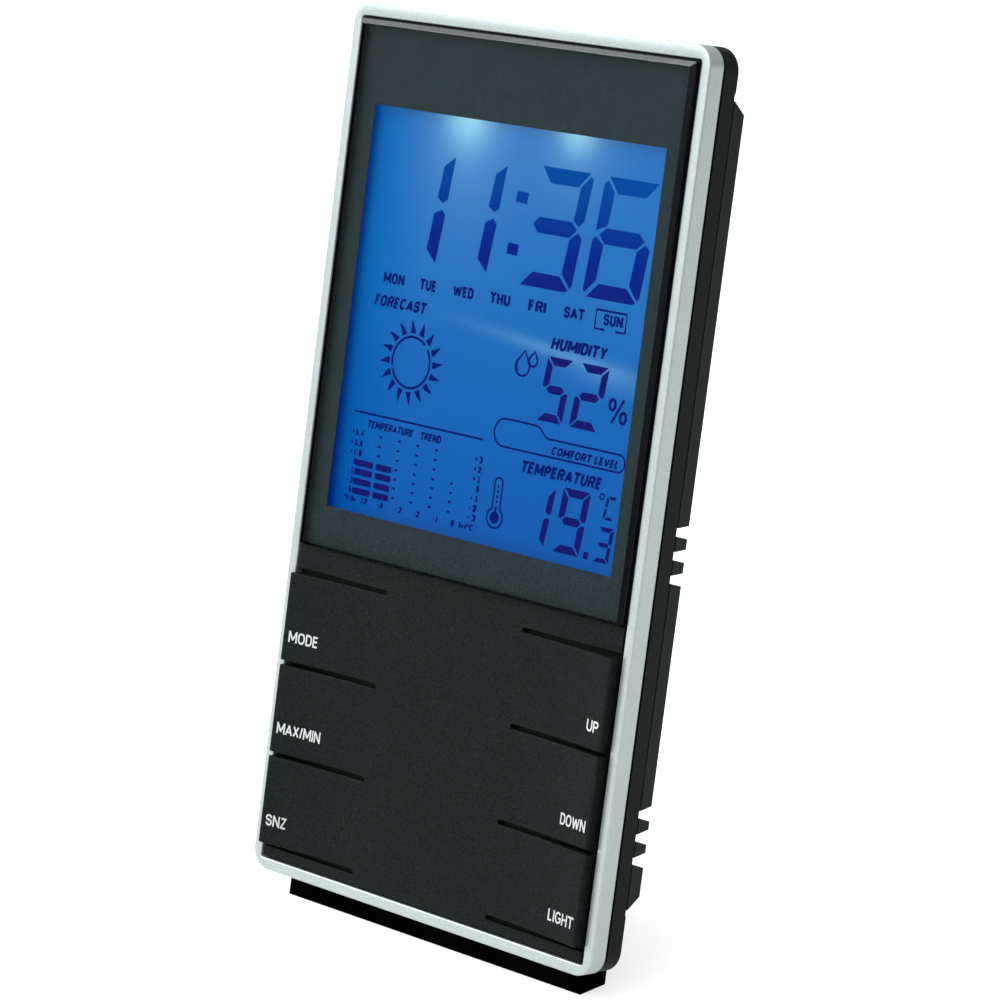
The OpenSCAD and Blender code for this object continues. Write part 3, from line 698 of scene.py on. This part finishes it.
# each letter: width, then its centre lines in a unit box; a line that starts with None is closed
GLYPHS = {
    "A": (0.80, [[(-0.03, -0.05), (0.5, 1)], [(0.5, 1), (1.03, -0.05)], [(0.2, 0.28), (0.8, 0.28)]]),
    "C": (0.74, [OPEN]),
    "D": (0.72, [[(0, 0), (0, 1), (0.45, 1)] + ring(-0.1, 1, 0, 1, 80, -80, 12) + [(0.45, 0), (-0.12, 0)]]),
    "E": (0.62, [[(1, 1), (0, 1), (0, 0), (1, 0)], [(0, 0.52), (0.92, 0.52)]]),
    "F": (0.58, [[(1, 1), (0, 1), (0, -0.12)], [(0, 0.5), (0.88, 0.5)]]),
    "G": (0.78, [OPEN + [(1, 0.18), (1, 0.46), (0.58, 0.46)]]),
    "H": (0.72, [[(0, -0.1), (0, 1.1)], [(1, -0.1), (1, 1.1)], [(0, 0.52), (1, 0.52)]]),
    "I": (0.19, [[(0.5, -0.1), (0.5, 1.1)]]),
    "L": (0.56, [[(0, 1.1), (0, 0), (1.05, 0)]]),
    "M": (0.96, [[(0, -0.1), (0, 1.1)], [(0.05, 1.0), (0.5, 0.15)], [(0.5, 0.15), (0.95, 1.0)],
                 [(1, -0.1), (1, 1.1)]]),
    "N": (0.78, [[(0, -0.1), (0, 1.1)], [(0.05, 1.0), (0.95, 0.0)], [(1, -0.1), (1, 1.1)]]),
    "O": (0.80, [[None] + OVAL]),
    "P": (0.68, [[(0, -0.1), (0, 1)], BOWL]),
    "R": (0.74, [[(0, -0.1), (0, 1)], BOWL, [(0.5, 0.48), (1, -0.05)]]),
    "S": (0.70, [CURVE_S]),
    "T": (0.72, [[(-0.2, 1), (1.2, 1)], [(0.5, 1), (0.5, -0.1)]]),
    "U": (0.72, [[(0, 1.1), (0, 0.4)] + ring(0, 1, 0, 0.8, 190, 350, 12) + [(1, 0.4), (1, 1.1)]]),
    "V": (0.78, [[(0, 1.05), (0.5, -0.05)], [(0.5, -0.05), (1, 1.05)]]),
    "W": (1.12, [[(0, 1.05), (0.25, -0.05)], [(0.25, -0.05), (0.5, 0.95)], [(0.5, 0.95), (0.75, -0.05)],
                 [(0.75, -0.05), (1, 1.05)]]),
    "X": (0.72, [[(0, 0), (1, 1)], [(0, 1), (1, 0)]]),
    "Y": (0.72, [[(0, 1.05), (0.5, 0.46), (1, 1.05)], [(0.5, 0.46), (0.5, -0.1)]]),
    "Z": (0.66, [[(0, 1), (1, 1), (0, 0), (1.05, 0)]]),
    "0": (0.56, [[None] + OVAL]),
    "1": (0.40, [[(0.1, 0.78), (0.7, 1), (0.7, -0.1)]]),
    "2": (0.56, [[(0, 0.72)] + ring(0, 1, 0.45, 1, 165, -30, 10) + [(0, 0), (1.1, 0)]]),
    "3": (0.56, [ring(0, 1, 0.52, 1, 160, -80, 10) + [(0.35, 0.52)], ring(0, 1, 0, 0.52, 80, -160, 10)]),
    "4": (0.58, [[(0.75, -0.1), (0.75, 1), (0, 0.3), (1.1, 0.3)]]),
    "5": (0.56, [[(0.95, 1), (0.15, 1), (0.05, 0.5)] + ring(0, 1, 0, 0.62, 120, -150, 10)]),
    "6": (0.56, [[(0.9, 0.94), (0.5, 1), (0.12, 0.75)] + ring(0, 1, 0, 0.6, 160, 490, 14)]),
    "8": (0.56, [[None] + ring(0.08, 0.92, 0.52, 1, -90, 250, 14),
                 [None] + ring(0, 1, 0, 0.52, 90, 430, 14)]),
    "+": (0.55, [[(0, 0.5), (1, 0.5)], [(0.5, 0.2), (0.5, 0.8)]]),
    "-": (0.42, [[(0, 0.45), (1, 0.45)]]),
    "/": (0.36, [[(0, -0.05), (1, 1.05)]]),
    ".": (0.2, [[(0.5, -0.1), (0.5, 0.1)]]),
    "*": (0.35, [[None] + ring(0, 1, 0.68, 1, 90, 420, 11)]),
    " ": (0.30, []),
    "h": (0.52, [[(0, -0.1), (0, 1.1)], [(0, 0.5), (0.5, 0.64), (1, 0.48), (1, -0.1)]]),
    "r": (0.38, [[(0, -0.1), (0, 0.7)], [(0, 0.5), (0.9, 0.64)]]),
}


def ribbon(points, width, closed):
    """A line of constant width with mitred corners, as (left, right) points."""
    count, out = len(points), []
    tiny, least_cos, longest = 1e-9, 0.2, 1.7
    for i in range(count):
        normals = []
        for a, b in ((i - 1, i), (i, i + 1)):
            if not closed and (a < 0 or b >= count):
                continue
            start, end = points[a % count], points[b % count]
            length = math.hypot(end[0] - start[0], end[1] - start[1]) or tiny
            normals.append((-(end[1] - start[1]) / length, (end[0] - start[0]) / length))
        mx, my = sum(v[0] for v in normals), sum(v[1] for v in normals)
        length = math.hypot(mx, my) or tiny
        mx, my = mx / length, my / length
        turn = mx * normals[0][0] + my * normals[0][1]
        reach = min(longest, 1 / max(least_cos, turn)) * width / 2
        x, y = points[i]
        out.append(((x + mx * reach, y + my * reach), (x - mx * reach, y - my * reach)))
    return out


def letter_quads(text, weight, gap):
    """The strokes of a text as quads, with a cap height of 1, and its whole width."""
    pen, quads = 0.0, []
    for letter in text:
        width, lines = GLYPHS[letter]
        for line in lines:
            closed = line[0] is None
            points = [(pen + weight / 2 + px * (width - weight), weight / 2 + py * (1 - weight))
                      for px, py in (line[1:] if closed else line)]
            edge = ribbon(points, weight, closed)
            for i in range(len(edge) if closed else len(edge) - 1):
                (a, b), (c, d) = edge[i], edge[(i + 1) % len(edge)]
                quads.append([(p[0], min(1.0, max(0.0, p[1]))) for p in (b, d, c, a)])
        pen += width + gap
    return quads, pen - gap


def lettering(items, name, material, place, body, weight, gap=0.10):
    """Plain bold lettering as flat mesh. items: (text, x, y, cap height, width, slope, align)."""
    smallest = 1e-6
    verts, faces = [], []
    for text, x, y, cap, width, slope, align in items:
        quads, total = letter_quads(text, weight, gap)
        stretch = width / total
        x0 = x - {"l": 0, "c": 0.5, "r": 1}[align] * total * stretch
        for quad in quads:
            size = signed_area(quad)
            if abs(size) < smallest:
                continue
            quad = quad if size > 0 else quad[::-1]
            base = len(verts)
            verts += [place(x0 + px * stretch + py * cap * slope, y + py * cap) for px, py in quad]
            faces.append(tuple(range(base, base + 4)))
    piece = make(name, verts, faces, material, body)


def at_mark_depth(x, z):
    """A point on the layer of the marks."""
    return (x, MARK_Y, z)


def display_item(text, x, y, cap, width, slope=0.0, align="c"):
    """A text of the display, placed like its marks: x to the right, and y down to its lower edge."""
    return (text, MARK_X + x, MARK_Z - y, cap, width, slope, align)


def words():
    """Day names over the clock, and the headings."""
    days = (("MON", 11.1, 4.85), ("TUE", 19.0, 3.85), ("WED", 27.05, 4.65), ("THU", 35.3, 4.55),
            ("FRI", 43.5, 3.85), ("SAT", 51.55, 4.45), ("SUN", 59.9, 4.15))
    out = [display_item(text, x, -2.1, 1.9, width) for text, x, width in days]
    for text, x, y, cap, width in (
            ("FORECAST", 13.1, 1.9, 2.0, 11.9), ("HUMIDITY", 53.4, 3.35, 2.05, 11.9),
            ("COMFORT LEVEL", 57.6, 20.2, 1.4, 14.4), ("TEMPERATURE", 53.0, 24.1, 2.05, 17.5),
            ("TEMPERATURE", 14.35, 22.6, 1.35, 10.7), ("TREND", 23.7, 22.6, 1.35, 4.8)):
        out.append(display_item(text, x, y, cap, width, 0.2))
    return out


def chart_numbers():
    """Both scales of the trend chart and its hours."""
    out = []
    for text, y in (("+5.4", 24.35), ("+3.6", 26.1), ("+1.8", 27.75), ("0", 29.3), ("-1.8", 30.95),
                    ("-3.6", 32.55), ("-5.4", 34.2)):
        x, width = (7.6, 0.7) if text == "0" else (8.6, 2.9)
        out.append(display_item(text, x, y, 1.15, width, 0.0, "r"))
    for text, y in (("+3", 24.25), ("+2", 25.9), ("+1", 27.55), ("0", 29.15), ("-1", 30.8), ("-2", 32.4),
                    ("-3", 34.0)):
        out.append(display_item(text, 36.0, y, 1.2, 0.75 if text == "0" else 1.9, 0.0, "r"))
    for text, x, width in (("*F/hr", 7.05, 2.9), ("-12", 10.0, 2.2), ("-6", 14.15, 1.5), ("-3", 18.4, 1.6),
                           ("-2", 22.6, 1.5), ("-1", 26.95, 1.3), ("0", 30.9, 0.8), ("hr/*C", 34.0, 3.2)):
        out.append(display_item(text, x, 35.6, 1.1, width, 0.15))
    return out


lettering(words(), "lcd_words", INK, at_mark_depth, "case", 0.25, 0.06)
lettering(chart_numbers(), "lcd_numbers", INK, at_mark_depth, "case", 0.28, 0.12)


# -------------------- keypad: middle, strips and six keys
KEYPAD_Y = 0.2
# the keys' faces curve forward from KEY_IN to KEY_OUT, on a radius; their slits end at SLIT_X
KEY_IN, SLIT_X, KEY_OUT, KEY_RADIUS = 15.3, 15.73, 36.6, 108.0
FIRST_SLIT, PITCH, SLIT = 52.65, 16.05, 0.86
# how far back a key's walls reach
KEY_DEEP = 1.2


def key_y(x):
    """Depth of the keypad's face at x: flat in the middle, and forward over the keys."""
    beyond = max(0.0, abs(x) - KEY_IN)
    return KEYPAD_Y - (KEY_RADIUS - math.sqrt(KEY_RADIUS * KEY_RADIUS - beyond * beyond))


def slit_z(i):
    """Height of a slit's middle, counted from the top one."""
    return FIRST_SLIT - i * PITCH


def keypad_middle():
    """One skin with a round notch at the inner end of every slit, open where the keys join it."""
    low, high, back, radius = 2.35, 57.2, 1.45, SLIT / 2
    half = [(KEY_OUT, low), (KEY_OUT, slit_z(3) - radius)]
    for i in (3, 2, 1, 0):
        for a in arc(-90, -270, 10):
            half.append((SLIT_X + radius * math.cos(a), slit_z(i) + radius * math.sin(a)))
    half += [(KEY_OUT, slit_z(0) + radius), (KEY_OUT, high)]
    full = half + [(-x, z) for x, z in reversed(half)]
    count = len(full)
    verts = [(x, key_y(x) if SLIT_X - 0.5 < abs(x) < SLIT_X + 0.1 else KEYPAD_Y, z) for x, z in full]
    verts += [(x, back, z) for x, z in full]
    faces = [tuple(range(count)), tuple(range(2 * count - 1, count - 1, -1))]

    def at_slit_end(x):
        return SLIT_X - 0.001 < abs(x) < SLIT_X + 0.01

    for i in range(count):
        following = (i + 1) % count
        here, after = full[i][0], full[following][0]
        if at_slit_end(here) and abs(after) > SLIT_X - 0.001 and abs(here - after) < 0.01:
            continue
        faces.append((following, i, count + i, count + following))
    return make("keypad_middle", verts, faces, KEYPAD)


def key_columns():
    """Places along a key, as (x, y): its curved top, its round outer edge and its outer wall."""
    edge, steps = 0.7, 30
    start = KEY_OUT - edge
    columns = []
    for i in range(steps + 1):
        x = SLIT_X + (start - SLIT_X) * i / steps
        columns.append((x, key_y(x)))
    rise = key_y(KEY_OUT) - key_y(start)
    for a in arc(0, 90, 6)[1:]:
        y = key_y(start) + rise * math.sin(a) + edge * (1 - math.cos(a))
        columns.append((start + edge * math.sin(a), y))
    columns.append((KEY_OUT, KEY_DEEP))
    return columns


def key_rows(low, high):
    """Places across a key, as (z, how far back): wall, round edge, top, round edge, wall."""
    edge, steps = 0.16, 10
    corner = [(edge * (1 - math.cos(a)), edge * (1 - math.sin(a))) for a in arc(0, 90, 4)]
    rows = [(low, 1.0)] + [(low + dz, dy) for dz, dy in corner]
    rows += [(low + edge + (high - low - 2 * edge) * i / steps, 0.0) for i in range(1, steps)]
    return rows + [(high - dz, dy) for dz, dy in reversed(corner)] + [(high, 1.0)]


def key_skin(name, side, row):
    """Top skin of one key with rounded edges, from the slits' inner ends to the outer wall."""
    columns = key_columns()
    rows = key_rows(slit_z(row + 1) + SLIT / 2, slit_z(row) - SLIT / 2)
    count = len(rows)
    verts, faces = [], []
    for x, y in columns:
        for k, (z, dy) in enumerate(rows):
            verts.append((side * x, KEY_DEEP if k in (0, count - 1) else min(KEY_DEEP, y + dy), z))
    for i in range(len(columns) - 1):
        for k in range(count - 1):
            quad = (i * count + k, (i + 1) * count + k, (i + 1) * count + k + 1, i * count + k + 1)
            faces.append(quad if side > 0 else quad[::-1])
    return make(name, verts, faces, KEYPAD, None, smooth_angle=50)


def above_key(x, z):
    """A point of a label, just in front of the key's curved face."""
    return (x, key_y(x) - 0.012, z)


middle = keypad_middle()
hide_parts("keypad_panel")

# each key: name, side, row from the top, and its label with its left end, width and middle height
KEYS = (
    ("mode", -1, 0, ("MODE", -35.15, 6.15, 41.3)),
    ("maxmin", -1, 1, ("MAX/MIN", -35.3, 9.2, 25.3)),
    ("snooze", -1, 2, ("SNZ", -35.3, 4.25, 9.1)),
    ("up", 1, 0, ("UP", 32.55, 2.85, 40.7)),
    ("down", 1, 1, ("DOWN", 29.25, 6.15, 24.55)),
    ("light", 1, 2, ("LIGHT", 29.3, 6.2, 8.65)),
)
# the labels' cap height, and how far their lower edge sits below the middle of the key
LABEL_CAP, LABEL_DROP = 1.95, 0.97
for key, side, row, _ in KEYS:
    skin = key_skin("keyskin_" + key, side, row)
    zc = (slit_z(row) + slit_z(row + 1)) / 2
    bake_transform(skin)
    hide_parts("key_" + key)
for key, _, _, (text, x, width, zc) in KEYS:
    lettering([(text, x, zc - LABEL_DROP, LABEL_CAP, width, 0.0, "l")], "label_" + key, LABEL, above_key,
              "key_" + key, 0.165)


# -------------------- rear shell and the other CAD pieces
def dress(node, material, width=None, segments=2):
    """Gives a CAD piece one material and, with a width in metres, soft edges."""
    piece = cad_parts[node]
    piece.data.materials.clear()
    piece.data.materials.append(material)
    if width:
        soften(piece, width, segments, 38)
    return piece


WHITE = moulded("white_plastic", (0.62, 0.62, 0.60), (0.70, 0.70, 0.68), (0.4, 0.5), 1500.0, 0.15)
FILM = moulded("film", (0.30, 0.33, 0.36), (0.36, 0.39, 0.42), (0.15, 0.25), 900.0, 0.05)
GREEN = moulded("board", (0.012, 0.085, 0.030), (0.018, 0.11, 0.040), (0.3, 0.4), 700.0, 0.25)
PINK = moulded("connector", (0.55, 0.28, 0.30), (0.62, 0.34, 0.36), (0.6, 0.7), 900.0, 0.2)
RESIN = moulded("resin", (0.006, 0.006, 0.006), (0.010, 0.010, 0.010), (0.15, 0.25), 400.0, 0.2)
CREAM = moulded("button_cream", (0.50, 0.46, 0.33), (0.56, 0.52, 0.38), (0.45, 0.55), 1500.0, 0.15)
RED = moulded("wire_red", (0.42, 0.012, 0.008), (0.5, 0.02, 0.012), (0.4, 0.5), 900.0, 0.1)
WIRE_BLACK = moulded("wire_black", (0.008, 0.008, 0.008), (0.012, 0.012, 0.012), (0.4, 0.5), 900.0, 0.1)
STEEL = metal("plated_steel", (0.52, 0.52, 0.53), (0.68, 0.68, 0.69), (0.22, 0.34))
DARK_STEEL = metal("dark_steel", (0.05, 0.05, 0.055), (0.09, 0.09, 0.095), (0.3, 0.45))
CELL = metal("cell_wrap", (0.50, 0.34, 0.08), (0.58, 0.40, 0.10), (0.3, 0.4), 300.0)
GLASS = lens_material("lcd_glass", 0.12, (0.02, 0.03, 0.05), 1.6, 0.04)


def grooved(name, original, boxes):
    """A new piece that stands for the original, with a groove cut by each box of two x, y and z."""
    verts, faces = [], []
    sides = ((0, 1, 3, 2), (4, 6, 7, 5), (0, 4, 5, 1), (2, 3, 7, 6), (0, 2, 6, 4), (1, 5, 7, 3))
    for x0, x1, y0, y1, z0, z1 in boxes:
        base = len(verts)
        verts += [leaned(x, y, z) for x in (x0, x1) for y in (y0, y1) for z in (z0, z1)]
        faces += [tuple(base + i for i in side) for side in sides]
    mesh = bpy.data.meshes.new("cutter")
    mesh.from_pydata(verts, [], faces)
    cutter = bpy.data.objects.new("cutter", mesh)
    bpy.context.scene.collection.objects.link(cutter)
    boolean = original.modifiers.new("groove", "BOOLEAN")
    boolean.operation = "DIFFERENCE"
    boolean.solver = "EXACT"
    boolean.object = cutter
    bpy.context.view_layer.update()
    cut = bpy.data.meshes.new_from_object(original.evaluated_get(bpy.context.evaluated_depsgraph_get()))
    original.modifiers.remove(boolean)
    bpy.data.objects.remove(cutter)
    bpy.data.meshes.remove(mesh)
    piece = bpy.data.objects.new(name, cut)
    piece.matrix_world = original.matrix_world.copy()
    bpy.context.scene.collection.objects.link(piece)
    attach(piece, "case")
    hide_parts(original.name)


# the parting line runs along both edges of the case
PARTING = [(x0, x1, 7.0, 7.3, 10.0, 143.0) for x0, x1 in ((-39.6, -38.7), (38.7, 39.6))]
grooved("rear_case", dress("rear_shell", SHELL, 0.00035, 3), PARTING)
dress("battery_door", SHELL, 0.00025)
dress("stand_leg", SHELL, 0.0003)
dress("front_foot", FOOT_PAINTED_SHADE, 0.0003)
INNER = (
    (CHASSIS, ("front_chassis",)),
    (GLASS, ("front_polariser", "lcd_front_glass", "lcd_rear_glass", "light_guide")),
    (FILM, ("rear_polariser", "diffuser_sheet", "reflector_sheet")),
    (WHITE, ("backlight_tray", "climate_sensor", "backlight_leds")),
    (GREEN, ("led_board", "main_pcb")),
    (PINK, ("zebra_strip",)),
    (RESIN, ("controller_cover",)),
    (STEEL, ("quartz_crystal", "pcb_screws", "contact_link", "contact_positive", "contact_negative",
             "leg_pin")),
    (DARK_STEEL, ("case_screws",)),
    (SHELL, ("buzzer", "switch_housings")),
    (CREAM, tuple("plunger_" + key for key, *_ in KEYS)),
    (CELL, ("battery_cell_upper", "battery_cell_lower")),
    (RED, ("lead_red",)),
    (WIRE_BLACK, ("lead_black",)),
)
for mat, nodes in INNER:
    for node in nodes:
        dress(node, mat)
# the lit layer stands for what shows of the layers in front of it
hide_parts("lcd_front_glass", "front_polariser")


# -------------------- floor, lights and camera
def white_floor():
    """A wide white floor with a faint glow of its own."""
    material, tree, shader = new_material("floor_white")
    tone = ramp(tree, noise(tree, 3.0, 2.0), [(0.3, (0.49, 0.49, 0.49)), (0.7, (0.51, 0.51, 0.51))])
    tree.links.new(tone, shader.inputs["Base Color"])
    shader.inputs["Roughness"].default_value = 0.6
    shader.inputs["Specular IOR Level"].default_value = 0.0
    shader.inputs["Emission Color"].default_value = (1, 1, 1, 1)
    shader.inputs["Emission Strength"].default_value = 0.62
    half = 6.0
    mesh = bpy.data.meshes.new("floor")
    corners = [(-half, -half, 0), (half, -half, 0), (half, half, 0), (-half, half, 0)]
    mesh.from_pydata(corners, [], [(0, 1, 2, 3)])
    mesh.materials.append(material)
    floor = bpy.data.objects.new("floor", mesh)
    bpy.context.scene.collection.objects.link(floor)


def towards(azimuth, elevation):
    """Direction from the object to a place at an azimuth and an elevation, in degrees."""
    turn, rise = math.radians(azimuth), math.radians(elevation)
    return Vector((math.sin(turn) * math.cos(rise), -math.cos(turn) * math.cos(rise), math.sin(rise)))


def area(name, azimuth, elevation, size, power):
    """A square lamp, 1.2 m away and turned towards the middle of the object."""
    light = bpy.data.lights.new(name, "AREA")
    light.energy = power
    light.shape = "RECTANGLE"
    light.size = size
    light.size_y = size
    lamp = bpy.data.objects.new(name, light)
    middle_of_object = Vector((0, 0, 0.07))
    place = middle_of_object + 1.2 * towards(azimuth, elevation)
    lamp.location = place
    lamp.rotation_euler = (middle_of_object - place).to_track_quat("-Z", "Y").to_euler()
    bpy.context.scene.collection.objects.link(lamp)


def studio():
    """Even grey all round, brighter to the front left and above, and dark close to the horizon."""
    world = bpy.data.worlds.new("studio")
    bpy.context.scene.world = world
    world.use_nodes = True
    tree = world.node_tree
    coords = tree.nodes.new("ShaderNodeTexCoord")
    bright_side = (-0.69, -0.58, 0.42)
    dot = tree.nodes.new("ShaderNodeVectorMath")
    dot.operation = "DOT_PRODUCT"
    dot.inputs[1].default_value = bright_side
    tree.links.new(coords.outputs["Generated"], dot.inputs[0])
    sky = ramp(tree, span(tree, dot.outputs["Value"], 0.0, 1.0, -0.6, 0.75),
               [(0.0, (0.25, 0.25, 0.25)), (0.45, (0.26, 0.26, 0.26)), (1.0, (0.94, 0.965, 0.985))])
    height = tree.nodes.new("ShaderNodeSeparateXYZ")
    tree.links.new(coords.outputs["Generated"], height.inputs[0])
    low_dark = ramp(tree, span(tree, height.outputs[2], 0.0, 1.0, 0.0, 0.2),
                    [(0.0, (0.15, 0.15, 0.15)), (1.0, (1.0, 1.0, 1.0))])
    background = tree.nodes["Background"]
    tree.links.new(mixed(tree, sky, low_dark), background.inputs[0])
    background.inputs[1].default_value = 2.35


def camera(azimuth, elevation, distance, lens_length):
    """The view that the photograph was solved to, aimed at the middle of the front."""
    data = bpy.data.cameras.new("camera")
    data.lens = lens_length
    data.sensor_width = 36.0
    data.clip_start = 0.01
    data.clip_end = 100.0
    holder = bpy.data.objects.new("camera", data)
    bpy.context.scene.collection.objects.link(holder)
    aim_x, aim_z = 0.0196, 0.07628
    target = Vector((aim_x, OFF_Y / 1000.0, aim_z + OFF_Z / 1000.0))
    away = towards(azimuth, elevation)
    holder.location = target + away * distance
    holder.rotation_euler = (-away).to_track_quat("-Z", "Y").to_euler()
    bpy.context.scene.camera = holder


white_floor()
area("key_light", -40, 44, 0.8, 11.0)
area("top_light", 20, 86, 1.2, 3.0)
studio()
camera(42.63, 15.13, 0.6053, 137.6)
bpy.context.scene.view_settings.view_transform = "Standard"
